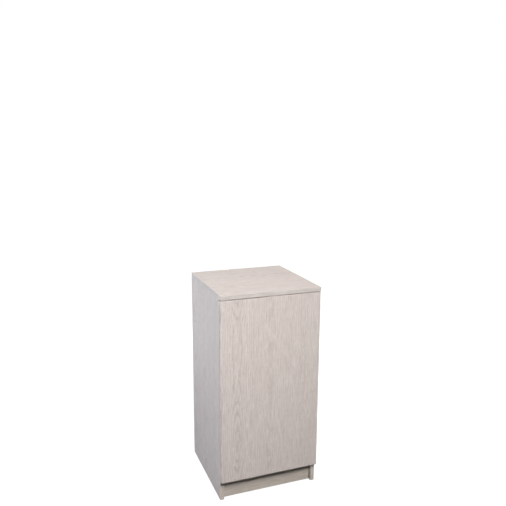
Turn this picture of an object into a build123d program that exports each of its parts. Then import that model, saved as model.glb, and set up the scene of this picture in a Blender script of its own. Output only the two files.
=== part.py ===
"""A slim floor cabinet that carries a square aquarium.

Melamine-faced boards stand on a recessed plinth. One full-overlay door covers the front, opens at a
push, and hides a shelf on pins. Frame: origin on the floor under the middle of the cabinet, +X to the
right as one faces the door, +Y towards the back, +Z up. All sizes are in millimetres.
"""

import os

from build123d import *

os.makedirs("parts", exist_ok=True)

# ---------------------------------------------------------------- driving dimensions
# Carcass
width = 400.0
depth = 400.0
height = 820.0
board = 16.0
band = 1.0  # glued edge banding
edge_round = 0.5  # rounding of the banding's front edges
kick_height = 80.0  # underside of the bottom panel
kick_setback = 15.0  # plinth behind the front edges of the side panels
plinth_gap = 1.0  # between each end of the front plinth and its side panel
rail_height = 80.0

# Door
door_gap_back = 4.0  # between the door and the front edges of the side panels
door_gap_top = 3.0
door_reveal = 1.5  # door's edge in from the outer face of the side panel
door_drop = 3.5  # door's bottom edge above the underside of the bottom panel
bumper_radius = 4.0
bumper_tip_radius = 3.0
bumper_height = 2.0
bumper_inset = 40.0  # from the door's top and bottom edges

# Back panel in its grooves, and the hose outlet through it
back_thickness = 3.0
back_inset = 12.0  # from the rear edges of the side panels
groove_depth = 7.0
groove_width = 3.4
groove_clear = 1.0  # between the panel's edge and the bottom of its groove
outlet_x = 105.0
outlet_z = 640.0
outlet_radius = 27.0
outlet_wall = 1.8
outlet_rim_radius = 34.0
outlet_rim_height = 2.0
outlet_depth = 10.0
back_screw_columns = (-120.0, 0.0, 120.0)

# Shelf on pins in rows of system holes
shelf_height = 430.0
shelf_setback = 30.0  # behind the front edges of the side panels
shelf_gap_back = 2.0
shelf_gap_side = 1.0
pin_rows = (-110.0, 150.0)
pin_pitch = 32.0
pin_radius = 2.5
pin_depth = 9.0
pin_reach = 8.0  # out of the side panel
collar_radius = 3.0
collar_height = 1.0
collar_drop = 0.6  # collar's middle below the pin's

# Cam, bolt and dowel joints between the boards
cam_offset = 24.0  # cam axis from the joint face
cam_radius = 7.5
cam_depth = 12.5
cam_clear = 0.1
cam_cross_size = 7.0
cam_cross_depth = 2.0
bolt_bore = 4.0
bolt_thread_bore = 2.55
bolt_thread_depth = 11.0
bolt_shank_radius = 3.0
bolt_shank_end = 2.0  # before the cam axis
bolt_head_radius = 3.3
bolt_head_length = 5.0
bolt_head_clear = 0.4
dowel_radius = 4.0
dowel_short = 12.0  # length in the bored board
dowel_long = 18.0  # length in the cam board
fit = 0.05  # radial room of pegs, pins and threads in their bores
end_room = 0.5  # left at the bottom of a bore
top_joint_rows = (-140.0, 140.0)
top_dowel_rows = (-80.0, 80.0)
floor_joint_rows = (-120.0, 120.0)
floor_dowel_rows = (-60.0, 60.0)
plinth_cam_height = 50.0
plinth_dowel_height = 22.0
rail_dowel_drop = 24.0  # below the rail's cams

# Floor glides, nailed up into the side panels
glide_height = 2.5
glide_radius = 7.5
glide_round = 0.8
glide_rows = (-160.0, 176.0)
nail_radius = 0.9
nail_length = 14.0

# Screws: shank radius, holes in the held pieces, and heads as (seat radius, crown radius, height)
screw_radius = 1.5
screw_hole_radius = 1.8
wood_head = (3.4, 2.4, 1.6)
wood_cross = (3.4, 1.0)  # size across and depth of the driver's cross
arm_screw_radius = 1.95
arm_screw_hole_radius = 2.6
arm_head = (4.0, 3.4, 1.6)
arm_cross = (4.2, 1.1)
door_screw_depth = 11.0
side_screw_depth = 12.0
top_screw_depth = 9.0
back_screw_depth = 12.0
arm_screw_depth = 4.0
arm_bore_depth = 4.5

# Concealed hinges: a cup in the door, a plate on the side panel and a hooked arm between them
hinge_inset = 100.0  # from the door's top and bottom edges
cup_radius = 17.5
cup_depth = 13.0
cup_clear = 0.1
cup_wall = 1.0
cup_edge = 4.0  # board left between the cup and the door's edge
cup_screw_offset = 9.5
cup_screw_spread = 22.5
flange_thickness = 1.2
flange_near = 17.0  # flange's reach from the cup axis away from the door's edge
flange_far = 13.5  # and towards it
flange_half = 31.0
flange_round = 7.0
pivot_inset = 8.1  # hinge pin in from the door's edge
pivot_setback = 6.7  # hinge pin behind the door's front face
hinge_pin_radius = 1.25
hinge_pin_half = 9.4
eye_radius = 2.1
eye_bore = 1.30
arm_half = 4.0
arm_thickness = 2.0
arm_side_clear = 0.7  # between the arm and the window in the cup's wall
window_width = 7.0
window_length = 11.0
window_offset = 2.5  # window's middle beyond the hinge pin
window_sink = 2.0  # and in from the door's back face
web_inset = 6.0  # middle of the arm's web in from the side panel
channel_half = 9.0
channel_setback = 6.0
channel_length = 56.0
lip_clear = 0.2  # beside the plate's rib
lip_gap = 0.4  # between the arm's lips and the plate's base
plate_base = 2.0
plate_rise = 4.5  # rib's face above the side panel
plate_length = 46.0
plate_round = 2.0
rib_half = 7.6
wing_width = 14.0
wing_margin = 7.0  # wing's end beyond its screw
wing_round = 6.0
plate_screw_setback = 37.0
plate_screw_spread = 16.0
arm_screw_setbacks = (26.0, 52.0)

# Push-to-open latch under the top panel, and its strike on the door
latch_x = -165.0
latch_drop = 8.0  # latch axis below the top panel
latch_setback = 4.0
latch_length = 72.0
latch_width = 14.0
latch_body_height = 15.0
latch_round = 3.0
latch_bore_depth = 66.0
ear_width = 30.0
ear_thickness = 2.0
latch_screw_rows = (-160.0, -112.0)
latch_screw_offset = 11.0
plunger_radius = 4.0
plunger_seat = 36.0  # plunger's inner end behind the housing's mouth
magnet_radius = 5.0
magnet_thickness = 4.0
magnet_bevel = 0.4
strike_radius = 8.0
strike_thickness = 1.0
strike_gap = 0.2  # between the strike and the magnet
strike_bore = 1.6
strike_sink = 2.8
strike_head_radius = 2.7
spring_wire = 0.45
spring_radius = 3.2
spring_turns = 8
spring_end_gap = 0.2

# ---------------------------------------------------------------- faces and levels that follow
side = width / 2
inner = side - board
side_mid = side - board / 2
front = -depth / 2
rear = depth / 2
door_back = front + board
carcass_front = door_back + door_gap_back
plinth_mid = carcass_front + kick_setback + board / 2
back_front = rear - back_inset - back_thickness
back_rear = rear - back_inset
rear_mid = back_front - board / 2

top_under = height - board
floor_mid = kick_height + board / 2
rail_mid = top_under - rail_height / 2
back_top = top_under + groove_depth - groove_clear
pin_level = shelf_height - pin_radius

door_side = side - door_reveal
door_top = top_under - door_gap_top
door_bottom = kick_height + door_drop
door_mid = (door_bottom + door_top) / 2
door_height = door_top - door_bottom

hinge_heights = (door_bottom + hinge_inset, door_top - hinge_inset)
cup_x = door_side - cup_edge - cup_radius
cup_screw_x = cup_x - cup_screw_offset
cup_screw_rows = (-cup_screw_spread, cup_screw_spread)
pivot_x = door_side - pivot_inset
pivot_y = front + pivot_setback
web_x = inner - web_inset
web_face = web_x - arm_thickness / 2
rib_face = inner - plate_rise
channel_start = carcass_front + channel_setback
channel_end = channel_start + channel_length
plate_y = carcass_front + plate_screw_setback
plate_screw_rows = (-plate_screw_spread, plate_screw_spread)

latch_z = top_under - latch_drop
latch_front = carcass_front + latch_setback
magnet_face = door_back + strike_thickness + strike_gap
magnet_back = magnet_face + magnet_thickness
plunger_rear = latch_front + plunger_seat

UP = (0, 0, 1)
DOWN = (0, 0, -1)
RIGHT = (1, 0, 0)
LEFT = (-1, 0, 0)
BACKWARD = (0, 1, 0)
FORWARD = (0, -1, 0)
FROM_START = (Align.CENTER, Align.CENTER, Align.MIN)


# ---------------------------------------------------------------- helpers
def place(point, direction):
    """Where a round feature starts, with its own +Z along a direction."""
    return Plane(origin=point, z_dir=direction).location


def moved(point, direction, distance):
    """A point carried a distance along a direction."""
    return tuple(p + d * distance for p, d in zip(point, direction))


def reverse(direction):
    """The opposite direction."""
    return tuple(-d for d in direction)


def rod(places, radius, length, mode=Mode.ADD):
    """A round peg or bore of one size from each place, along that place's +Z."""
    with Locations(*places):
        Cylinder(radius, length, align=FROM_START, mode=mode)


def taper(places, start_radius, end_radius, length, mode=Mode.ADD):
    """A cone of one size from each place, along that place's +Z."""
    with Locations(*places):
        Cone(start_radius, end_radius, length, align=FROM_START, mode=mode)


def cross_recess(places, size, recess_depth):
    """A driver's cross sunk in at each place, along that place's +Z."""
    with Locations(*places):
        Box(size, size / 6, recess_depth, align=FROM_START, mode=Mode.SUBTRACT)
        Box(size / 6, size, recess_depth, align=FROM_START, mode=Mode.SUBTRACT)


def screws(seats, radius, length, head, cross):
    """A screw from each seat: its shank along the seat's +Z, its pan head with a cross behind the seat."""
    seat_radius, crown_radius, head_height = head
    crowns = [seat * Location((0, 0, -head_height)) for seat in seats]
    rod(seats, radius, length)
    taper(crowns, crown_radius, seat_radius, head_height)
    cross_recess(crowns, *cross)


def save(part, name):
    """Names one finished piece and writes it to its own file."""
    part.label = name
    export_step(part, f"parts/{name}.step")


# ---------------------------------------------------------------- places of joints and screws
def side_joints(sign):
    """Cam joints on one side of the cabinet, by the board that holds the cam.

    Each is a point on the joint face, the direction from the bored board into the board that holds the
    cam, and the direction out of the cam's mouth.
    """
    inward = (-sign, 0, 0)
    face = sign * inner
    return {
        "side": [((sign * side_mid, y, top_under), DOWN, inward) for y in top_joint_rows],
        "floor": [((face, y, floor_mid), inward, DOWN) for y in floor_joint_rows],
        "plinth": [((face, plinth_mid, plinth_cam_height), inward, BACKWARD)],
        "rear_plinth": [((face, rear_mid, plinth_cam_height), inward, FORWARD)],
        "rail": [((face, rear_mid, rail_mid), inward, BACKWARD)],
    }


def side_dowels(sign):
    """Dowel joints on one side, in the same form but without the cam's mouth."""
    inward = (-sign, 0, 0)
    face = sign * inner
    return {
        "side": [((sign * side_mid, y, top_under), DOWN) for y in top_dowel_rows],
        "floor": [((face, y, floor_mid), inward) for y in floor_dowel_rows],
        "plinth": [((face, plinth_mid, plinth_dowel_height), inward)],
        "rear_plinth": [((face, rear_mid, plinth_dowel_height), inward)],
        "rail": [((face, rear_mid, rail_mid - rail_dowel_drop), inward)],
    }


cams = {sign: side_joints(sign) for sign in (-1, 1)}
dowels = {sign: side_dowels(sign) for sign in (-1, 1)}


def cam_mouths(joints):
    """Where each cam goes in, pointing into its board."""
    axes = [(moved(point, into, cam_offset), mouth) for point, into, mouth in joints]
    return [place(moved(axis, mouth, board / 2), reverse(mouth)) for axis, mouth in axes]


def beside_hinges(x, y, rows, direction):
    """Places above and below the middle of each hinge."""
    return [place((x, y, z + row), direction) for z in hinge_heights for row in rows]


def arm_screw_places(x):
    """Where the two screws of each hinge arm cross a plane parallel to the side panel."""
    setbacks = [carcass_front + setback for setback in arm_screw_setbacks]
    return [place((x, y, z), RIGHT) for z in hinge_heights for y in setbacks]


def latch_screw_places(z):
    """Where the four screws of the latch cross a level."""
    columns = (latch_x - latch_screw_offset, latch_x + latch_screw_offset)
    return [place((x, y, z), UP) for y in latch_screw_rows for x in columns]


def back_screw_places(y):
    """Where the screws of the back panel cross a plane, over the bottom panel's edge and the rail."""
    return [place((x, y, z), FORWARD) for z in (floor_mid, rail_mid) for x in back_screw_columns]


def glide_places(z):
    """The middles of the floor glides at a level."""
    return [place((sign * side_mid, y, z), UP) for sign in (-1, 1) for y in glide_rows]


def drill_cam_board(joints, pegs):
    """Cam pockets, bolt bores and dowel bores in the board that holds the cams."""
    rod(cam_mouths(joints), cam_radius, cam_depth, Mode.SUBTRACT)
    rod([place(point, into) for point, into, _ in joints], bolt_bore, cam_offset, Mode.SUBTRACT)
    rod([place(point, into) for point, into in pegs], dowel_radius, dowel_long, Mode.SUBTRACT)


def drill_bored_board(joints, pegs):
    """Bolt thread bores and dowel bores in the board that the cam pulls on."""
    threads = [place(point, reverse(into)) for point, into, _ in joints]
    rod(threads, bolt_thread_bore, bolt_thread_depth, Mode.SUBTRACT)
    rod([place(point, reverse(into)) for point, into in pegs], dowel_radius, dowel_short, Mode.SUBTRACT)


def side_features(sign):
    """What both side panels carry, mirrored: joints, back groove, shelf pin rows and nail holes."""
    drill_cam_board(cams[sign]["side"], dowels[sign]["side"])
    for row in ("floor", "plinth", "rear_plinth", "rail"):
        drill_bored_board(cams[sign][row], dowels[sign][row])
    with Locations((sign * (inner + groove_depth / 2), back_front + groove_width / 2, height / 2)):
        Box(groove_depth, groove_width, height, mode=Mode.SUBTRACT)
    levels = [pin_level + pin_pitch * step for step in (-2, -1, 0, 1, 2)]
    holes = [place((sign * inner, y, z), (sign, 0, 0)) for y in pin_rows for z in levels]
    rod(holes, pin_radius, pin_depth, Mode.SUBTRACT)
    rod(glide_places(glide_height), nail_radius, nail_length, Mode.SUBTRACT)


# ---------------------------------------------------------------- boards
with BuildPart() as left_side_panel:
    with BuildSketch(Plane.XY.offset(glide_height)):
        with Locations((-side_mid, (carcass_front + band + rear) / 2)):
            Rectangle(board, rear - carcass_front - band)
    extrude(amount=top_under - glide_height)
    side_features(-1)
save(left_side_panel.part, "left_side_panel")

with BuildPart() as right_side_panel:
    with BuildSketch(Plane.XY.offset(glide_height)):
        with Locations((side_mid, (carcass_front + band + rear) / 2)):
            Rectangle(board, rear - carcass_front - band)
    extrude(amount=top_under - glide_height)
    side_features(1)
    plate_bores = beside_hinges(inner, plate_y, plate_screw_rows, RIGHT)
    rod(plate_bores, screw_radius, side_screw_depth, Mode.SUBTRACT)
save(right_side_panel.part, "right_side_panel")

with BuildPart() as side_edge_banding:
    with BuildSketch(Plane.XY.offset(glide_height)):
        with Locations(*[(sign * side_mid, carcass_front + band / 2) for sign in (-1, 1)]):
            Rectangle(board, band)
    extrude(amount=top_under - glide_height)
    fillet(side_edge_banding.edges().filter_by(Axis.Z).group_by(Axis.Y)[0], edge_round)
save(side_edge_banding.part, "side_edge_banding")

with BuildPart() as top_panel:
    with BuildSketch(Plane.XY.offset(top_under)):
        with Locations((0, band / 2)):
            Rectangle(width - 2 * band, depth - band)
    extrude(amount=board)
    for sign in (-1, 1):
        drill_bored_board(cams[sign]["side"], dowels[sign]["side"])
    with Locations((0, back_front + groove_width / 2, top_under)):
        Box(2 * (inner + groove_depth), groove_width, 2 * groove_depth, mode=Mode.SUBTRACT)
    rod(latch_screw_places(top_under), screw_radius, top_screw_depth, Mode.SUBTRACT)
save(top_panel.part, "top_panel")

with BuildPart() as top_edge_banding:
    with BuildSketch(Plane.XY.offset(top_under)):
        with Locations((0, front + band / 2)):
            Rectangle(width, band)
    extrude(amount=board)
    fillet(top_edge_banding.edges().group_by(Axis.Y)[0].filter_by(Axis.X), edge_round)
    with BuildSketch(Plane.XY.offset(top_under)):
        with Locations(*[(sign * (side - band / 2), band / 2) for sign in (-1, 1)]):
            Rectangle(band, depth - band)
    extrude(amount=board)
save(top_edge_banding.part, "top_edge_banding")

with BuildPart() as bottom_panel:
    with BuildSketch(Plane.XY.offset(kick_height)):
        with Locations((0, (carcass_front + band + back_front) / 2)):
            Rectangle(2 * inner, back_front - carcass_front - band)
    extrude(amount=board)
    for sign in (-1, 1):
        drill_cam_board(cams[sign]["floor"], dowels[sign]["floor"])
    back_bores = [place((x, back_front, floor_mid), FORWARD) for x in back_screw_columns]
    rod(back_bores, screw_radius, back_screw_depth, Mode.SUBTRACT)
save(bottom_panel.part, "bottom_panel")

with BuildPart() as bottom_edge_banding:
    with BuildSketch(Plane.XY.offset(kick_height)):
        with Locations((0, carcass_front + band / 2)):
            Rectangle(2 * inner, band)
    extrude(amount=board)
    fillet(bottom_edge_banding.edges().filter_by(Axis.X).group_by(Axis.Y)[0], edge_round)
save(bottom_edge_banding.part, "bottom_edge_banding")

with BuildPart() as front_plinth:
    with BuildSketch(Plane.XY.offset(glide_height)):
        with Locations((0, plinth_mid)):
            Rectangle(2 * (inner - plinth_gap), board)
    extrude(amount=kick_height - glide_height)
    for sign in (-1, 1):
        drill_cam_board(cams[sign]["plinth"], dowels[sign]["plinth"])
save(front_plinth.part, "front_plinth")

with BuildPart() as rear_plinth:
    with BuildSketch(Plane.XY.offset(glide_height)):
        with Locations((0, rear_mid)):
            Rectangle(2 * inner, board)
    extrude(amount=kick_height - glide_height)
    for sign in (-1, 1):
        drill_cam_board(cams[sign]["rear_plinth"], dowels[sign]["rear_plinth"])
save(rear_plinth.part, "rear_plinth")

with BuildPart() as rear_rail:
    with BuildSketch(Plane.XY.offset(top_under - rail_height)):
        with Locations((0, rear_mid)):
            Rectangle(2 * inner, board)
    extrude(amount=rail_height)
    for sign in (-1, 1):
        drill_cam_board(cams[sign]["rail"], dowels[sign]["rail"])
    back_bores = [place((x, back_front, rail_mid), FORWARD) for x in back_screw_columns]
    rod(back_bores, screw_radius, back_screw_depth, Mode.SUBTRACT)
save(rear_rail.part, "rear_rail")

# ---------------------------------------------------------------- back panel and its hose outlet
with BuildPart() as back_panel:
    with BuildSketch(Plane.XY.offset(kick_height)):
        with Locations((0, back_front + back_thickness / 2)):
            Rectangle(2 * (inner + groove_depth - groove_clear), back_thickness)
    extrude(amount=back_top - kick_height)
    outlet_start = place((outlet_x, back_front, outlet_z), BACKWARD)
    rod([outlet_start], outlet_radius + outlet_wall, back_thickness, Mode.SUBTRACT)
    rod(back_screw_places(back_rear), screw_hole_radius, back_thickness, Mode.SUBTRACT)
save(back_panel.part, "back_panel")

with BuildPart() as back_panel_screws:
    back_seats = back_screw_places(back_rear)
    screws(back_seats, screw_radius, back_thickness + back_screw_depth, wood_head, wood_cross)
save(back_panel_screws.part, "back_panel_screws")

with BuildPart() as hose_grommet:
    with BuildSketch(Plane(origin=(outlet_x, back_rear, outlet_z), z_dir=BACKWARD)):
        Circle(outlet_rim_radius)
    extrude(amount=outlet_rim_height)
    fillet(hose_grommet.faces().sort_by(Axis.Y)[-1].edges(), outlet_rim_height / 2)
    sleeve = place((outlet_x, back_rear, outlet_z), FORWARD)
    rod([sleeve], outlet_radius + outlet_wall, outlet_depth - outlet_rim_height)
    mouth = place((outlet_x, back_rear + outlet_rim_height, outlet_z), FORWARD)
    rod([mouth], outlet_radius, outlet_depth, Mode.SUBTRACT)
save(hose_grommet.part, "hose_grommet")

# ---------------------------------------------------------------- shelf
shelf_front = carcass_front + shelf_setback
shelf_rear = back_front - shelf_gap_back
shelf_half = inner - shelf_gap_side

with BuildPart() as shelf:
    with BuildSketch(Plane.XY.offset(shelf_height)):
        with Locations((0, (shelf_front + band + shelf_rear) / 2)):
            Rectangle(2 * shelf_half, shelf_rear - shelf_front - band)
    extrude(amount=board)
save(shelf.part, "shelf")

with BuildPart() as shelf_edge_banding:
    with BuildSketch(Plane.XY.offset(shelf_height)):
        with Locations((0, shelf_front + band / 2)):
            Rectangle(2 * shelf_half, band)
    extrude(amount=board)
    fillet(shelf_edge_banding.edges().filter_by(Axis.X).group_by(Axis.Y)[0], edge_round)
save(shelf_edge_banding.part, "shelf_edge_banding")

with BuildPart() as shelf_pins:
    for sign in (-1, 1):
        outward = (sign, 0, 0)
        tips = [(sign * (inner - pin_reach), y, pin_level) for y in pin_rows]
        rod([place(tip, outward) for tip in tips], pin_radius - fit, pin_reach + pin_depth - 2 * end_room)
        collar_x = sign * (inner - collar_height)
        collars = [place((collar_x, y, pin_level - collar_drop), outward) for y in pin_rows]
        rod(collars, collar_radius, collar_height)
save(shelf_pins.part, "shelf_pins")

# ---------------------------------------------------------------- door
strike_start = place((latch_x, door_back, latch_z), BACKWARD)
strike_screw = place((latch_x, door_back, latch_z), FORWARD)

with BuildPart() as door_panel:
    with BuildSketch(Plane(origin=(0, door_back, door_mid), x_dir=RIGHT, z_dir=FORWARD)):
        Rectangle(2 * (door_side - band), door_height - 2 * band)
    extrude(amount=board)
    cup_pockets = beside_hinges(cup_x, door_back, (0.0,), FORWARD)
    rod(cup_pockets, cup_radius, cup_depth, Mode.SUBTRACT)
    door_bores = beside_hinges(cup_screw_x, door_back, cup_screw_rows, FORWARD) + [strike_screw]
    rod(door_bores, screw_radius, door_screw_depth, Mode.SUBTRACT)
save(door_panel.part, "door_panel")

with BuildPart() as door_edge_banding:
    with BuildSketch(Plane(origin=(0, door_back, door_mid), x_dir=RIGHT, z_dir=FORWARD)):
        Rectangle(2 * door_side, door_height)
        Rectangle(2 * (door_side - band), door_height - 2 * band, mode=Mode.SUBTRACT)
    extrude(amount=board)
    fillet(door_edge_banding.faces().sort_by(Axis.Y)[0].outer_wire().edges(), edge_round)
save(door_edge_banding.part, "door_edge_banding")

with BuildPart() as door_bumpers:
    bumper_levels = (door_bottom + bumper_inset, door_top - bumper_inset)
    bumpers = [place((-side_mid, door_back, z), BACKWARD) for z in bumper_levels]
    taper(bumpers, bumper_radius, bumper_tip_radius, bumper_height)
save(door_bumpers.part, "door_bumpers")

# ---------------------------------------------------------------- hinges
hinge_pin_places = beside_hinges(pivot_x, pivot_y, (-hinge_pin_half,), UP)

with BuildPart() as hinge_cups:
    for z in hinge_heights:
        with BuildSketch(Plane(origin=(cup_x, door_back, z), x_dir=RIGHT, z_dir=BACKWARD)):
            with Locations(((flange_far - flange_near) / 2, 0)):
                RectangleRounded(flange_far + flange_near, 2 * flange_half, flange_round)
        extrude(amount=flange_thickness)
    cup_starts = beside_hinges(cup_x, door_back, (0.0,), FORWARD)
    rod(cup_starts, cup_radius - cup_clear, cup_depth - cup_clear)
    cup_mouths = beside_hinges(cup_x, door_back + flange_thickness, (0.0,), FORWARD)
    hollow = cup_depth + flange_thickness - cup_clear - cup_wall
    rod(cup_mouths, cup_radius - cup_clear - cup_wall, hollow, Mode.SUBTRACT)
    with Locations(*[(pivot_x + window_offset, door_back - window_sink, z) for z in hinge_heights]):
        Box(window_width, window_length, 2 * (arm_half + arm_side_clear), mode=Mode.SUBTRACT)
    rod(hinge_pin_places, hinge_pin_radius, 2 * hinge_pin_half, Mode.SUBTRACT)
    flange_holes = beside_hinges(cup_screw_x, door_back + flange_thickness, cup_screw_rows, FORWARD)
    rod(flange_holes, screw_hole_radius, flange_thickness, Mode.SUBTRACT)
save(hinge_cups.part, "hinge_cups")

with BuildPart() as hinge_pins:
    rod(hinge_pin_places, hinge_pin_radius, 2 * hinge_pin_half)
save(hinge_pins.part, "hinge_pins")

with BuildPart() as hinge_cup_screws:
    cup_seats = beside_hinges(cup_screw_x, door_back + flange_thickness, cup_screw_rows, FORWARD)
    screws(cup_seats, screw_radius, flange_thickness + door_screw_depth, wood_head, wood_cross)
save(hinge_cup_screws.part, "hinge_cup_screws")

with BuildPart() as hinge_arms:
    lip_edge = inner - plate_base - lip_gap
    lip_thickness = channel_half - rib_half - lip_clear
    hook_end = pivot_y - arm_thickness / 2
    for z in hinge_heights:
        with BuildSketch(Plane.XY.offset(z - arm_half)):
            with Locations((pivot_x, pivot_y)):
                Circle(eye_radius)
            with Locations(((pivot_x + web_x) / 2, pivot_y)):
                Rectangle(pivot_x - web_x, arm_thickness)
            with Locations((web_x, (hook_end + channel_end) / 2)):
                Rectangle(arm_thickness, channel_end - hook_end)
        extrude(amount=2 * arm_half)
        with BuildSketch(Plane.XY.offset(z - channel_half)):
            with Locations((web_x, (channel_start + channel_end) / 2)):
                Rectangle(arm_thickness, channel_length)
        extrude(amount=2 * channel_half)
        for lip_start in (z - channel_half, z + channel_half - lip_thickness):
            with BuildSketch(Plane.XY.offset(lip_start)):
                with Locations(((web_face + lip_edge) / 2, (channel_start + channel_end) / 2)):
                    Rectangle(lip_edge - web_face, channel_length)
            extrude(amount=lip_thickness)
    eyes = beside_hinges(pivot_x, pivot_y, (-arm_half,), UP)
    rod(eyes, eye_bore, 2 * arm_half, Mode.SUBTRACT)
    rod(arm_screw_places(web_face), arm_screw_hole_radius, arm_thickness, Mode.SUBTRACT)
save(hinge_arms.part, "hinge_arms")

with BuildPart() as hinge_plates:
    for z in hinge_heights:
        with BuildSketch(Plane(origin=(inner, plate_y, z), x_dir=BACKWARD, z_dir=LEFT)):
            RectangleRounded(wing_width, 2 * (plate_screw_spread + wing_margin), wing_round)
            RectangleRounded(plate_length, 2 * rib_half, plate_round)
        extrude(amount=plate_base)
        with BuildSketch(Plane(origin=(inner - plate_base, plate_y, z), x_dir=BACKWARD, z_dir=LEFT)):
            Rectangle(plate_length, 2 * rib_half)
        extrude(amount=plate_rise - plate_base)
    wing_holes = beside_hinges(inner - plate_base, plate_y, plate_screw_rows, RIGHT)
    rod(wing_holes, screw_hole_radius, plate_base, Mode.SUBTRACT)
    rod(arm_screw_places(rib_face), arm_screw_radius + fit, arm_bore_depth, Mode.SUBTRACT)
save(hinge_plates.part, "hinge_plates")

with BuildPart() as hinge_plate_screws:
    plate_seats = beside_hinges(inner - plate_base, plate_y, plate_screw_rows, RIGHT)
    screws(plate_seats, screw_radius, plate_base + side_screw_depth, wood_head, wood_cross)
save(hinge_plate_screws.part, "hinge_plate_screws")

with BuildPart() as hinge_arm_screws:
    arm_screw_length = rib_face - web_face + arm_screw_depth
    screws(arm_screw_places(web_face), arm_screw_radius, arm_screw_length, arm_head, arm_cross)
save(hinge_arm_screws.part, "hinge_arm_screws")

# ---------------------------------------------------------------- push-to-open latch
with BuildPart() as latch_housing:
    with BuildSketch(Plane(origin=(latch_x, latch_front, latch_z), x_dir=RIGHT, z_dir=BACKWARD)):
        RectangleRounded(latch_width, latch_body_height, latch_round)
    extrude(amount=latch_length)
    with Locations((latch_x, latch_front + latch_length / 2, top_under - ear_thickness / 2)):
        Box(ear_width, latch_length, ear_thickness)
    latch_mouth = place((latch_x, latch_front, latch_z), BACKWARD)
    rod([latch_mouth], plunger_radius + fit, latch_bore_depth, Mode.SUBTRACT)
    ear_holes = latch_screw_places(top_under - ear_thickness)
    rod(ear_holes, screw_hole_radius, ear_thickness, Mode.SUBTRACT)
save(latch_housing.part, "latch_housing")

with BuildPart() as latch_plunger:
    plunger_tip = place((latch_x, magnet_back, latch_z), BACKWARD)
    rod([plunger_tip], plunger_radius, plunger_rear - magnet_back)
save(latch_plunger.part, "latch_plunger")

with BuildPart() as latch_magnet:
    rod([place((latch_x, magnet_face, latch_z), BACKWARD)], magnet_radius, magnet_thickness)
    chamfer(latch_magnet.faces().sort_by(Axis.Y)[0].edges(), magnet_bevel)
save(latch_magnet.part, "latch_magnet")

with BuildPart() as latch_spring:
    spring_margin = spring_wire + spring_end_gap
    spring_start = (latch_x, plunger_rear + spring_margin, latch_z)
    spring_length = latch_bore_depth - plunger_seat - 2 * spring_margin
    with BuildLine() as coil_path:
        Helix(
            spring_length / spring_turns,
            spring_length,
            spring_radius,
            center=spring_start,
            direction=BACKWARD,
        )
    with BuildSketch(Plane(origin=coil_path.line @ 0, z_dir=coil_path.line % 0)):
        Circle(spring_wire)
    sweep()
save(latch_spring.part, "latch_spring")

with BuildPart() as latch_screws:
    ear_seats = latch_screw_places(top_under - ear_thickness)
    screws(ear_seats, screw_radius, ear_thickness + top_screw_depth, wood_head, wood_cross)
save(latch_screws.part, "latch_screws")

with BuildPart() as latch_strike:
    rod([strike_start], strike_radius, strike_thickness)
    rod([strike_start], strike_bore, strike_thickness, Mode.SUBTRACT)
    taper([strike_start], strike_bore, strike_sink, strike_thickness, Mode.SUBTRACT)
save(latch_strike.part, "latch_strike")

with BuildPart() as latch_strike_screw:
    rod([strike_screw], screw_radius, door_screw_depth)
    taper([strike_start], screw_radius, strike_head_radius, strike_thickness)
save(latch_strike_screw.part, "latch_strike_screw")

# ---------------------------------------------------------------- knock-down fittings and floor glides
all_cams = [joint for sign in (-1, 1) for joints in cams[sign].values() for joint in joints]
all_dowels = [peg for sign in (-1, 1) for pegs in dowels[sign].values() for peg in pegs]

with BuildPart() as cam_locks:
    rod(cam_mouths(all_cams), cam_radius - cam_clear, cam_depth - cam_clear)
    head_room = cam_offset - bolt_shank_end + bolt_head_length + bolt_head_clear
    joint_starts = [place(point, into) for point, into, _ in all_cams]
    rod(joint_starts, bolt_head_radius + bolt_head_clear, head_room, Mode.SUBTRACT)
    cross_recess(cam_mouths(all_cams), cam_cross_size, cam_cross_depth)
save(cam_locks.part, "cam_locks")

with BuildPart() as cam_bolts:
    threads = [place(point, reverse(into)) for point, into, _ in all_cams]
    rod(threads, bolt_thread_bore - fit, bolt_thread_depth - end_room)
    shank_length = cam_offset - bolt_shank_end
    rod([place(point, into) for point, into, _ in all_cams], bolt_shank_radius, shank_length)
    heads = [place(moved(point, into, shank_length), into) for point, into, _ in all_cams]
    rod(heads, bolt_head_radius, bolt_head_length)
save(cam_bolts.part, "cam_bolts")

with BuildPart() as dowel_pegs:
    peg_starts = [place(moved(point, into, end_room - dowel_short), into) for point, into in all_dowels]
    rod(peg_starts, dowel_radius - fit, dowel_short + dowel_long - 2 * end_room)
save(dowel_pegs.part, "dowel_pegs")

with BuildPart() as floor_glides:
    rod(glide_places(0.0), glide_radius, glide_height)
    fillet(floor_glides.faces().group_by(Axis.Z)[0].edges(), glide_round)
save(floor_glides.part, "floor_glides")

with BuildPart() as glide_nails:
    rod(glide_places(glide_height), nail_radius - fit, nail_length - end_room)
save(glide_nails.part, "glide_nails")
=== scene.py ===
import math

import bmesh
import bpy
from mathutils import Matrix, Vector

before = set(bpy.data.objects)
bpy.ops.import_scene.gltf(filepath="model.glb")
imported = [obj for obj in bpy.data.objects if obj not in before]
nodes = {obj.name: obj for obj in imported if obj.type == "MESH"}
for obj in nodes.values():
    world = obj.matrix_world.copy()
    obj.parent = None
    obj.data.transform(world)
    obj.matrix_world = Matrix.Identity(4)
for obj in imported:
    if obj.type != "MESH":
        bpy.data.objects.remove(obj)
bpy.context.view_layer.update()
scene = bpy.context.scene


# ------------------------------------------------------------------ shader building blocks
FACING = 0.7  # cosine above which a surface counts as looking along a direction
EDGE_SAMPLES = 4
EDGE_AGREEMENT = ((0.75, 1.0), (0.98, 0.0))  # rounded and true normal: from edge to flat
COLOUR_RESULT = 2  # the colour output of a mix node
FACTOR_INPUT, FIRST_COLOUR, SECOND_COLOUR = 0, 6, 7  # its inputs


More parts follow.
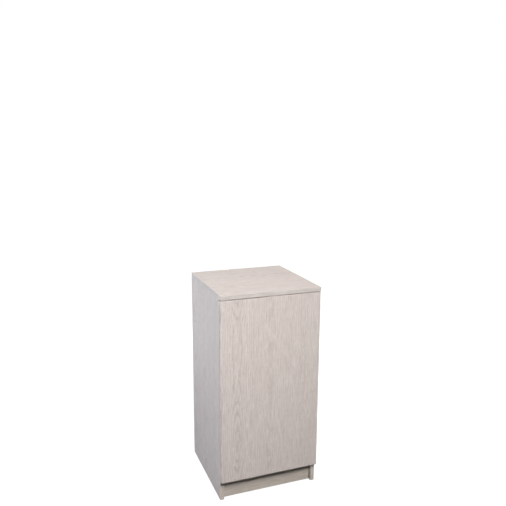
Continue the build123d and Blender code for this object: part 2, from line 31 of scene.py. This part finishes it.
class Shader:
    """One procedural material: a principled shader and short calls for the nodes in front of it."""

    def __init__(self, name):
        self.material = bpy.data.materials.new(name)
        self.material.use_nodes = True
        self.tree = self.material.node_tree
        self.surface = self.tree.nodes["Principled BSDF"]
        self.coords = self.tree.nodes.new("ShaderNodeTexCoord")

    def set(self, **values):
        """Plain values on the principled shader's own sockets, underscores for spaces."""
        for key, value in values.items():
            self.surface.inputs[key.replace("_", " ")].default_value = value

    def feed(self, socket, target):
        """Links a socket, or sets a plain value, on an input."""
        if isinstance(socket, (int, float, tuple)):
            target.default_value = socket
        else:
            self.tree.links.new(socket, target)

    def out(self, name, socket):
        """Feeds one of the principled shader's inputs."""
        self.feed(socket, self.surface.inputs[name])

    def separate(self, vector):
        node = self.tree.nodes.new("ShaderNodeSeparateXYZ")
        self.feed(vector, node.inputs[0])
        return list(node.outputs)

    def faces(self, axis):
        """1 where the surface looks along an axis, either way, 0 elsewhere."""
        direction = tuple(float(axis == other) for other in "xyz")
        along = self.vector("DOT_PRODUCT", self.coords.outputs["Normal"], direction)
        return self.math("GREATER_THAN", self.math("ABSOLUTE", along), FACING)

    def combine(self, x, y, z):
        node = self.tree.nodes.new("ShaderNodeCombineXYZ")
        for value, target in zip((x, y, z), node.inputs):
            self.feed(value, target)
        return node.outputs[0]

    def math(self, operation, first, second=0.0, third=0.0):
        node = self.tree.nodes.new("ShaderNodeMath")
        node.operation = operation
        for value, target in zip((first, second, third), node.inputs):
            self.feed(value, target)
        return node.outputs[0]

    def vector(self, operation, first, second):
        node = self.tree.nodes.new("ShaderNodeVectorMath")
        node.operation = operation
        self.feed(first, node.inputs[0])
        self.feed(second, node.inputs[1])
        return node.outputs["Value" if operation in ("DOT_PRODUCT", "LENGTH") else "Vector"]

    def scaled(self, vector, scale, offset=(0.0, 0.0, 0.0)):
        """The vector with each axis multiplied, then moved."""
        node = self.tree.nodes.new("ShaderNodeMapping")
        node.inputs["Scale"].default_value = scale
        node.inputs["Location"].default_value = offset
        self.feed(vector, node.inputs["Vector"])
        return node.outputs[0]

    def noise(self, vector, scale=1.0, detail=2.0, roughness=0.5):
        node = self.tree.nodes.new("ShaderNodeTexNoise")
        node.inputs["Scale"].default_value = scale
        node.inputs["Detail"].default_value = detail
        node.inputs["Roughness"].default_value = roughness
        self.feed(vector, node.inputs["Vector"])
        return node.outputs[0]

    def ramp(self, factor, *stops):
        """A colour ramp through (position, grey or colour) stops."""
        node = self.tree.nodes.new("ShaderNodeValToRGB")
        elements = node.color_ramp.elements
        while len(elements) < len(stops):
            elements.new(0.5)
        for element, (position, value) in zip(elements, stops):
            element.position = position
            element.color = (*value, 1.0) if isinstance(value, tuple) else (value, value, value, 1.0)
        self.feed(factor, node.inputs[0])
        return node.outputs[0]

    def mix(self, factor, first, second, blend="MIX"):
        node = self.tree.nodes.new("ShaderNodeMix")
        node.data_type = "RGBA"
        node.blend_type = blend
        self.feed(factor, node.inputs[FACTOR_INPUT])
        for value, place in ((first, FIRST_COLOUR), (second, SECOND_COLOUR)):
            self.feed((*value, 1.0) if isinstance(value, tuple) else value, node.inputs[place])
        return node.outputs[COLOUR_RESULT]

    def bump(self, height, distance, strength=1.0):
        node = self.tree.nodes.new("ShaderNodeBump")
        node.inputs["Distance"].default_value = distance
        node.inputs["Strength"].default_value = strength
        self.feed(height, node.inputs["Height"])
        self.tree.links.new(node.outputs[0], self.surface.inputs["Normal"])

    def edge(self, radius):
        """1 on a convex or concave edge of the piece, 0 on its flats."""
        bevel = self.tree.nodes.new("ShaderNodeBevel")
        bevel.samples = EDGE_SAMPLES
        bevel.inputs["Radius"].default_value = radius
        flat = self.tree.nodes.new("ShaderNodeNewGeometry")
        agree = self.vector("DOT_PRODUCT", bevel.outputs[0], flat.outputs["True Normal"])
        return self.ramp(agree, *EDGE_AGREEMENT)


# ------------------------------------------------------------------ board materials
LIGHT_WOOD = (0.655, 0.590, 0.558)
DARK_WOOD = (0.490, 0.425, 0.392)
WASH = (0.760, 0.715, 0.690)
PORE = (0.330, 0.275, 0.240)
CHIP_LIGHT = (0.640, 0.520, 0.370)
CHIP_DARK = (0.360, 0.260, 0.160)

# Oak print. Lengths in metres, noise scales in cycles per metre.
PLANK_WIDTH = 0.135
SEED_ACROSS = 3.4 * PLANK_WIDTH  # each seed moves the print this far across the grain
SEED_ALONG = 1.37  # and this far along it
PLANKS_BEFORE = 10  # planks added before the remainder is taken, so that it is never negative
PLANK_STEP = 3.7  # distance in the noises between neighbouring planks
HEART_WANDER = 0.012  # how far the heart strays from the middle of its plank
HEART_FALL = ((0.006, 1.0), (0.022, 0.0))  # its strength by the distance from it
CUT_RANGE = 0.110  # how far the cut wanders from the heart's depth, which opens and closes the arches
CUT_MIDDLE = 0.30  # noise value at which the cut passes through the heart
RING_WIDTH = 0.0070
RING_PROFILE = ((0.0, 0.25), (0.22, 1.0), (0.55, 0.15), (1.0, 0.0))  # dark early wood within one ring
RING_MEAN = 0.35  # kept when the figure is weakened
RUFFLE = 0.0040  # waviness of the rings
RUFFLE_SCALE = (120.0, 9.0)  # across and along the grain
VIGOUR_MEAN, VIGOUR_SWING, VIGOUR_TURN = 0.65, 0.35, 2.2  # strength of the figure from plank to plank

# Noises drawn out along the grain: cycles per metre across and along it, detail, roughness, shift
FIBRES = {
    "broad": (26.0, 1.3, 2.0, 0.5, (0.0, 0.0, 0.0)),
    "streaks": (230.0, 15.0, 3.0, 0.6, (0.0, 0.0, 0.0)),
    "wash": (360.0, 26.0, 2.0, 0.5, (3.0, 0.0, 7.0)),
    "lines": (620.0, 5.0, 2.0, 0.6, (6.1, 0.0, 2.3)),
    "pores": (900.0, 46.0, 1.5, 0.5, (0.0, 0.0, 0.0)),
    "ticks": (2100.0, 85.0, 2.0, 0.5, (1.7, 0.0, 4.1)),
}
TONE_OFFSET = -0.30
TONE_WEIGHTS = {"lines": 0.42, "streaks": 1.03, "broad": 0.26}
TONE_RANGE = ((0.38, 0.0), (0.92, 1.0))  # from light wood to dark wood
RING_TONE, HEART_TONE = 0.20, 0.14  # weight of the rings in the tone, and what the heart adds to it
HEART_PORES = 0.35  # what the heart adds to the rings when they gather pores
PORE_CROWD = (0.70, 0.15)  # how open the pores are: share that follows the rings, and share everywhere
PORE_OPENING = ((0.55, 0.0), (0.61, 1.0))  # noise values from closed to open
TICK_OPENING = ((0.57, 0.0), (0.60, 1.0))
PORE_DARKNESS = 0.62
WASH_COVER = ((0.54, 0.0), (0.64, 1.0))  # noise values from bare to white
WASH_CROWD = (0.60, 0.10)  # share of the white that follows the rings, and share everywhere


def band_place(shader, grain):
    """Object coordinates, a quarter turned on faces that cut the grain, so the print follows the band."""
    place = shader.coords.outputs["Object"]
    x, y, z = shader.separate(place)
    turned = shader.combine(*((y, x, z) if grain == "x" else (z, y, x)))
    return shader.mix(shader.faces(grain), place, turned)


def plank_figure(shader, across, length):
    """Nested arches of a plank sawn beside its heart. Returns the early wood and the heart's strength."""
    plank = shader.math("FLOOR", shader.math("DIVIDE", across, PLANK_WIDTH))
    shifted = shader.math("ADD", across, PLANKS_BEFORE * PLANK_WIDTH)
    local = shader.math("SUBTRACT", shader.math("MODULO", shifted, PLANK_WIDTH), PLANK_WIDTH / 2)
    where = shader.combine(shader.math("MULTIPLY", plank, PLANK_STEP), 0.0, length)
    wander = shader.math("SUBTRACT", shader.noise(shader.scaled(where, (1.0, 1.0, 3.2)), 1.0, 2.0), 0.5)
    centre = shader.math("MULTIPLY_ADD", wander, HEART_WANDER, local)

    cut = shader.noise(shader.scaled(where, (1.0, 1.0, 3.0), (5.3, 2.2, 1.1)), 1.0, 1.5)
    cut = shader.math("MULTIPLY", shader.math("SUBTRACT", cut, CUT_MIDDLE), CUT_RANGE)
    radius = shader.math("MULTIPLY_ADD", centre, centre, shader.math("MULTIPLY", cut, cut))
    radius = shader.math("SQRT", radius)
    waves = [shader.math("MULTIPLY", part, scale) for part, scale in zip((across, length), RUFFLE_SCALE)]
    ruffle = shader.noise(shader.combine(waves[0], 0.0, waves[1]), 1.0, 2.0)
    radius = shader.math("MULTIPLY_ADD", ruffle, RUFFLE, radius)
    early = shader.ramp(shader.math("FRACT", shader.math("DIVIDE", radius, RING_WIDTH)), *RING_PROFILE)

    turn = shader.math("COSINE", shader.math("MULTIPLY", plank, VIGOUR_TURN))
    vigour = shader.math("MULTIPLY_ADD", turn, VIGOUR_SWING, VIGOUR_MEAN)
    early = shader.math("MULTIPLY_ADD", shader.math("SUBTRACT", early, RING_MEAN), vigour, RING_MEAN)
    heart = shader.ramp(shader.math("ABSOLUTE", centre), *HEART_FALL)
    return early, shader.math("MULTIPLY", heart, vigour)


def oak_print(shader, place, grain, seed, tint_and_painted_light=(1.0, 1.0, 1.0)):
    """Whitewashed oak print: nested arches, straight flanks and short pores. Returns colour and pores."""
    parts = shader.separate(place)
    length = parts.pop("xyz".index(grain))
    across = shader.math("ADD", shader.math("ADD", *parts), (seed - 1.0) * SEED_ACROSS)
    length = shader.math("ADD", length, seed * SEED_ALONG)
    early, heart = plank_figure(shader, across, length)
    flat = shader.combine(across, 0.0, length)
    fibres = {
        name: shader.noise(shader.scaled(flat, (wide, 1.0, long), shift), 1.0, detail, roughness)
        for name, (wide, long, detail, roughness, shift) in FIBRES.items()
    }

    figure = shader.math("MULTIPLY_ADD", heart, HEART_TONE, RING_TONE)
    tone = shader.math("MULTIPLY_ADD", early, figure, TONE_OFFSET)
    for name, weight in TONE_WEIGHTS.items():
        tone = shader.math("MULTIPLY_ADD", fibres[name], weight, tone)
    colour = shader.mix(shader.ramp(tone, *TONE_RANGE), LIGHT_WOOD, DARK_WOOD)

    ringed = shader.math("MULTIPLY_ADD", heart, HEART_PORES, early)
    crowded = shader.math("MULTIPLY_ADD", ringed, *PORE_CROWD)
    open_pores = shader.math("MULTIPLY", shader.ramp(fibres["pores"], *PORE_OPENING), crowded)
    open_ticks = shader.math("MULTIPLY", shader.ramp(fibres["ticks"], *TICK_OPENING), crowded)
    open_pores = shader.math("MAXIMUM", open_pores, open_ticks)
    washed = shader.math("MULTIPLY_ADD", ringed, *WASH_CROWD)
    washed = shader.math("MULTIPLY", shader.ramp(fibres["wash"], *WASH_COVER), washed)
    colour = shader.mix(washed, colour, WASH)
    colour = shader.mix(shader.math("MULTIPLY", open_pores, PORE_DARKNESS), colour, PORE)
    # Multiplies the print by a per-board factor: on some boards a tint, on others painted shade or a painted
    # highlight.
    return shader.mix(1.0, colour, tint_and_painted_light, "MULTIPLY"), open_pores


def particle_board(shader, cells_per_metre=420.0, specks_per_metre=900.0):
    """Raw chipboard on cut edges and in bores: pressed chips with darker gaps. Returns colour and height."""
    place = shader.coords.outputs["Object"]
    cells = shader.tree.nodes.new("ShaderNodeTexVoronoi")
    cells.inputs["Scale"].default_value = cells_per_metre
    shader.feed(place, cells.inputs["Vector"])
    chips = shader.math("MULTIPLY", shader.noise(place, specks_per_metre, 3.0), 0.6)
    chips = shader.math("MULTIPLY_ADD", cells.outputs["Distance"], 0.55, chips)
    return shader.mix(shader.ramp(chips, (0.35, 0.0), (0.72, 1.0)), CHIP_LIGHT, CHIP_DARK), chips


def laminate(name, grain, face, seed, tint_and_painted_light=(1.0, 1.0, 1.0), raw_edges=True):
    """Melamine-faced board: print on the two faces, raw chipboard on cut edges unless they are covered."""
    edge_radius, edge_wear_and_highlight_strength = 0.0010, 0.35
    gloss_base, gloss_spread, pore_dullness = 0.40, 0.14, 0.12
    relief = 0.00018

    shader = Shader(name)
    place = shader.coords.outputs["Object"] if raw_edges else band_place(shader, grain)
    colour, pores = oak_print(shader, place, grain, seed, tint_and_painted_light)
    height = shader.math("MULTIPLY", pores, -1.0)
    if raw_edges:
        printed = shader.faces(face)
        chipboard, chips = particle_board(shader)
        colour = shader.mix(printed, chipboard, colour)
        height = shader.mix(printed, chips, height)
    # Edges take the lighter wash colour: partly wear, partly a painted highlight where a rounded edge
    # catches light.
    rubbed_and_highlit_edges = shader.math("MULTIPLY", shader.edge(edge_radius), edge_wear_and_highlight_strength)
    shader.out("Base Color", shader.mix(rubbed_and_highlit_edges, colour, WASH))
    smudge = shader.noise(shader.coords.outputs["Object"], 9.0, 3.0)
    gloss = shader.math("MULTIPLY_ADD", smudge, gloss_spread, gloss_base)
    shader.out("Roughness", shader.math("MULTIPLY_ADD", pores, pore_dullness, gloss))
    shader.set(Specular_IOR_Level=0.42)
    shader.bump(height, relief, 0.5)
    return shader.material


def hardboard(name):
    """Thin back panel: printed face inside, raw brown hardboard with a fibrous, meshed back outside."""
    dark, light, stain = (0.235, 0.140, 0.075), (0.400, 0.265, 0.155), (0.300, 0.190, 0.105)
    fibre_scale = (260.0, 260.0, 170.0)
    mesh_scale = 95.0
    printed_gloss, raw_dullness = 0.45, 0.35
    relief = 0.0003

    shader = Shader(name)
    place = shader.coords.outputs["Object"]
    colour, _ = oak_print(shader, place, "z", 8.0)
    facing = shader.vector("DOT_PRODUCT", shader.coords.outputs["Normal"], (0.0, 1.0, 0.0))
    outside = shader.math("GREATER_THAN", facing, -FACING)
    fibres = shader.noise(shader.scaled(place, fibre_scale), 1.0, 5.0, 0.68)
    brown = shader.mix(shader.ramp(fibres, (0.32, 0.0), (0.70, 1.0)), dark, light)
    blotch = shader.math("MULTIPLY", shader.noise(place, 6.0, 3.0), 0.35)
    brown = shader.mix(blotch, brown, stain)
    shader.out("Base Color", shader.mix(outside, colour, brown))
    mesh = shader.tree.nodes.new("ShaderNodeTexWave")
    mesh.inputs["Scale"].default_value = mesh_scale
    shader.feed(place, mesh.inputs["Vector"])
    shader.bump(shader.math("MULTIPLY_ADD", mesh.outputs["Fac"], 0.5, fibres), relief, 0.6)
    shader.out("Roughness", shader.math("MULTIPLY_ADD", outside, raw_dullness, printed_gloss))
    return shader.material


# ------------------------------------------------------------------ hardware materials
def metal(name, colour, roughness, spread, scratch_scale=(900.0, 60.0, 900.0), grime=0.25):
    """Plated or cast metal: brushed scratches, blotchy gloss, duller in patches, and brighter on edges from
    wear and a painted highlight.
    """
    edge_radius, edge_wear_and_highlight_strength, edge_highlight_and_wear_gain = 0.0004, 0.6, 1.15
    relief = 0.00004

    shader = Shader(name)
    place = shader.coords.outputs["Object"]
    scratches = shader.noise(shader.scaled(place, scratch_scale), 1.0, 3.0, 0.6)
    blotch = shader.noise(place, 120.0, 4.0, 0.6)
    dull = tuple(c * (1.0 - grime) for c in colour)
    highlit_worn_colour = tuple(min(1.0, c * edge_highlight_and_wear_gain) for c in colour)
    tone = shader.mix(shader.ramp(blotch, (0.40, 0.0), (0.75, 1.0)), colour, dull)
    # Edges lighter: partly wear, partly a painted highlight.
    rubbed_and_highlit_edges = shader.math("MULTIPLY", shader.edge(edge_radius), edge_wear_and_highlight_strength)
    shader.out("Base Color", shader.mix(rubbed_and_highlit_edges, tone, highlit_worn_colour))
    shader.out("Roughness", shader.math("MULTIPLY_ADD", blotch, spread, roughness))
    shader.set(Metallic=1.0)
    shader.bump(scratches, relief, 0.5)
    return shader.material


def plastic(name, colour, roughness, grain_scale=1400.0, transmission=0.0):
    """Moulded plastic with a fine spark-eroded grain, pale dust, and edges paler from rubbing and a painted
    highlight.
    """
    edge_radius, edge_wear_and_highlight_strength = 0.0005, 0.4
    dust_cover, gloss_spread = 0.25, 0.22
    relief = 0.00008

    shader = Shader(name)
    place = shader.coords.outputs["Object"]
    skin = shader.noise(place, grain_scale, 3.0, 0.6)
    dust = shader.math("MULTIPLY", shader.noise(place, 60.0, 4.0, 0.6), dust_cover)
    dust_and_highlight_colour = tuple(min(1.0, c * 1.3 + 0.03) for c in colour)
    # Edges paler: partly rubbing, partly a painted highlight; dust is pale in patches everywhere.
    rubbed_and_highlit_edges = shader.math("MULTIPLY", shader.edge(edge_radius), edge_wear_and_highlight_strength)
    shader.out("Base Color", shader.mix(rubbed_and_highlit_edges, shader.mix(dust, colour, dust_and_highlight_colour), dust_and_highlight_colour))
    shader.out("Roughness", shader.math("MULTIPLY_ADD", skin, gloss_spread, roughness))
    shader.set(Transmission_Weight=transmission)
    shader.bump(skin, relief, 0.5)
    return shader.material


def beech(name):
    """Bare turned dowel."""
    dark, light = (0.50, 0.33, 0.18), (0.66, 0.48, 0.30)
    grain_scale = (500.0, 500.0, 60.0)
    relief = 0.0001

    shader = Shader(name)
    grain = shader.noise(shader.scaled(shader.coords.outputs["Object"], grain_scale), 1.0, 3.0)
    shader.out("Base Color", shader.mix(grain, dark, light))
    shader.out("Roughness", shader.math("MULTIPLY_ADD", grain, 0.2, 0.55))
    shader.bump(grain, relief, 0.5)
    return shader.material


# ------------------------------------------------------------------ materials on the CAD nodes
nickel = metal("nickel_plate", (0.78, 0.76, 0.72), 0.18, 0.16, grime=0.12)
zinc_plate = metal("zinc_plate", (0.66, 0.67, 0.68), 0.24, 0.25)
casting = metal("zinc_casting", (0.56, 0.56, 0.57), 0.42, 0.25, (700.0, 700.0, 700.0), 0.35)
black = plastic("black_plastic", (0.018, 0.018, 0.019), 0.40)
grey = plastic("grey_plastic", (0.50, 0.50, 0.49), 0.36)
clear = plastic("clear_pad", (0.80, 0.80, 0.77), 0.22, 700.0, 0.65)

looks = {
    "door_panel": laminate("oak_door", "z", "y", 1.0),
    # Lighter door edge banding: a painted highlight, the bright line where its rounded edge catches light.
    "door_edge_banding": laminate("oak_door_edge", "z", "y", 2.0, (1.13, 1.12, 1.12), False),
    "left_side_panel": laminate("oak_left", "z", "x", 3.0),
    "right_side_panel": laminate("oak_right", "z", "x", 4.0),
    # Darker, yellower side edge banding: painted shade on the leg fronts under the door.
    "side_edge_banding": laminate("oak_side_edge", "z", "y", 5.0, (0.98, 0.97, 0.92), False),
    # Darker top: painted shade that keeps the top from washing out under the lights from above.
    "top_panel": laminate("oak_top", "x", "z", 6.0, (0.94, 0.94, 0.94)),
    "top_edge_banding": laminate("oak_top_edge", "x", "z", 7.0, (0.94, 0.96, 0.96), False),
    "bottom_panel": laminate("oak_bottom", "x", "z", 9.0),
    "bottom_edge_banding": laminate("oak_bottom_edge", "x", "z", 10.0, raw_edges=False),
    # Darker, warmer plinths: painted shade under the door with a painted warm bounce; the rear plinth takes
    # the same tint.
    "front_plinth": laminate("oak_plinth", "x", "y", 11.0, (0.89, 0.89, 0.83)),
    "rear_plinth": laminate("oak_rear_plinth", "x", "y", 12.0, (0.89, 0.89, 0.83)),
    "rear_rail": laminate("oak_rail", "x", "y", 13.0),
    "shelf": laminate("oak_shelf", "x", "z", 14.0),
    "shelf_edge_banding": laminate("oak_shelf_edge", "x", "z", 15.0, raw_edges=False),
    "back_panel": hardboard("hardboard_back"),
    "hose_grommet": black,
    "floor_glides": black,
    "door_bumpers": clear,
    "latch_housing": grey,
    "latch_plunger": grey,
    "hinge_cups": nickel,
    "hinge_arms": nickel,
    "hinge_plates": nickel,
    "cam_locks": casting,
    "dowel_pegs": beech("beech_dowel"),
}
for name, node in nodes.items():
    node.data.materials.clear()
    node.data.materials.append(looks.get(name, zinc_plate))


# ------------------------------------------------------------------ floor, light and camera
def glow(name, near, far, radius, diffuse):
    """Pale studio surface: a little diffuse, and its own light, which grows with distance."""
    shader = Shader(name)
    reach = shader.vector("LENGTH", shader.coords.outputs["Object"], (0.0, 0.0, 0.0))
    shader.set(Base_Color=(diffuse, diffuse, diffuse, 1.0), Roughness=0.9, Specular_IOR_Level=0.0)
    shader.set(Emission_Color=(1.0, 1.0, 1.0, 1.0))
    share = shader.ramp(shader.math("DIVIDE", reach, radius), (0.0, near), (1.0, far))
    shader.out("Emission Strength", share)
    return shader.material


def stage_mesh(name, material, shape):
    """A floor or backdrop that only the camera sees, so that it adds no light to the object."""
    mesh = bpy.data.meshes.new(name)
    draft = bmesh.new()
    shape(draft)
    draft.to_mesh(mesh)
    draft.free()
    mesh.materials.append(material)
    piece = bpy.data.objects.new(name, mesh)
    piece.visible_diffuse = False
    piece.visible_glossy = False
    piece.visible_transmission = False
    piece.visible_shadow = False
    scene.collection.objects.link(piece)


stage_radius = 25.0
glow_radius = 3.0  # distance at which the floor's own light is full
stage_mesh(
    "studio_floor",
    glow("studio_floor", near=0.80, far=1.0, radius=glow_radius, diffuse=0.22),
    lambda draft: bmesh.ops.create_circle(draft, cap_ends=True, segments=96, radius=stage_radius),
)
stage_mesh(
    "studio_dome",
    glow("studio_dome", near=1.0, far=1.0, radius=glow_radius, diffuse=0.0),
    lambda draft: bmesh.ops.create_icosphere(draft, subdivisions=4, radius=stage_radius * 1.05),
)

world = bpy.data.worlds.new("studio")
world.use_nodes = True
world_tree = world.node_tree
direction = world_tree.nodes.new("ShaderNodeTexCoord")
split = world_tree.nodes.new("ShaderNodeSeparateXYZ")
sky = world_tree.nodes.new("ShaderNodeValToRGB")
world_tree.links.new(direction.outputs["Generated"], split.inputs[0])
world_tree.links.new(split.outputs["Z"], sky.inputs[0])
world_tree.links.new(sky.outputs[0], world_tree.nodes["Background"].inputs["Color"])
sky_levels = ((0.0, 0.063), (1.0, 0.19))  # horizon and straight up
for element, (height, level) in zip(sky.color_ramp.elements, sky_levels):
    element.position = height
    element.color = (level, level, level, 1.0)
scene.world = world
scene.view_settings.view_transform = "Standard"


def softbox(
    name, azimuth, elevation, distance, size, power,
    colour=(1.0, 1.0, 1.0), target=(0.0, 0.0, 0.45), spread=180.0,
):
    """A square area light that looks at a point. Azimuth turns left from straight in front, in degrees."""
    light = bpy.data.lights.new(name, "AREA")
    light.size = size
    light.energy = power
    light.color = colour
    light.spread = math.radians(spread)
    turn, rise = math.radians(azimuth), math.radians(elevation)
    direction = (-math.sin(turn) * math.cos(rise), -math.cos(turn) * math.cos(rise), math.sin(rise))
    offset = Vector(direction) * distance
    lamp = bpy.data.objects.new(name, light)
    lamp.location = Vector(target) + offset
    lamp.rotation_euler = (-offset).to_track_quat("-Z", "Y").to_euler()
    lamp.visible_camera = False
    scene.collection.objects.link(lamp)
    return lamp


softbox("key", 5.0, 45.5, 3.8, 1.5, power=14.3, target=(-0.15, -0.20, 0.77), spread=36.0)
softbox("left", 90.0, 15.0, 1.9, 0.8, power=27.6, colour=(0.845, 0.910, 1.0))
softbox("right", -85.0, 22.0, 2.2, 0.9, power=30.0)
softbox("rim", 150.0, 0.0, 1.25, 0.9, power=1.3, colour=(0.82, 0.93, 1.0))
back = softbox("back", 180.0, 22.0, 2.2, 0.9, power=24.0)
back.visible_glossy = False  # its mirror image would wash out the top

camera_place = (-0.8011, -2.1198, 1.3786)
camera_yaw = math.radians(20.668)
camera_pitch = math.radians(11.276)
camera_roll = math.radians(0.245)
camera = bpy.data.cameras.new("camera")
camera.sensor_width = 36.0
camera.lens = 41.656
viewer = bpy.data.objects.new("camera", camera)
viewer.location = camera_place
turn = Matrix.Rotation(-camera_yaw, 3, "Z") @ Matrix.Rotation(math.pi / 2 - camera_pitch, 3, "X")
viewer.rotation_euler = (turn @ Matrix.Rotation(camera_roll, 3, "Z")).to_euler()
scene.collection.objects.link(viewer)
scene.camera = viewer
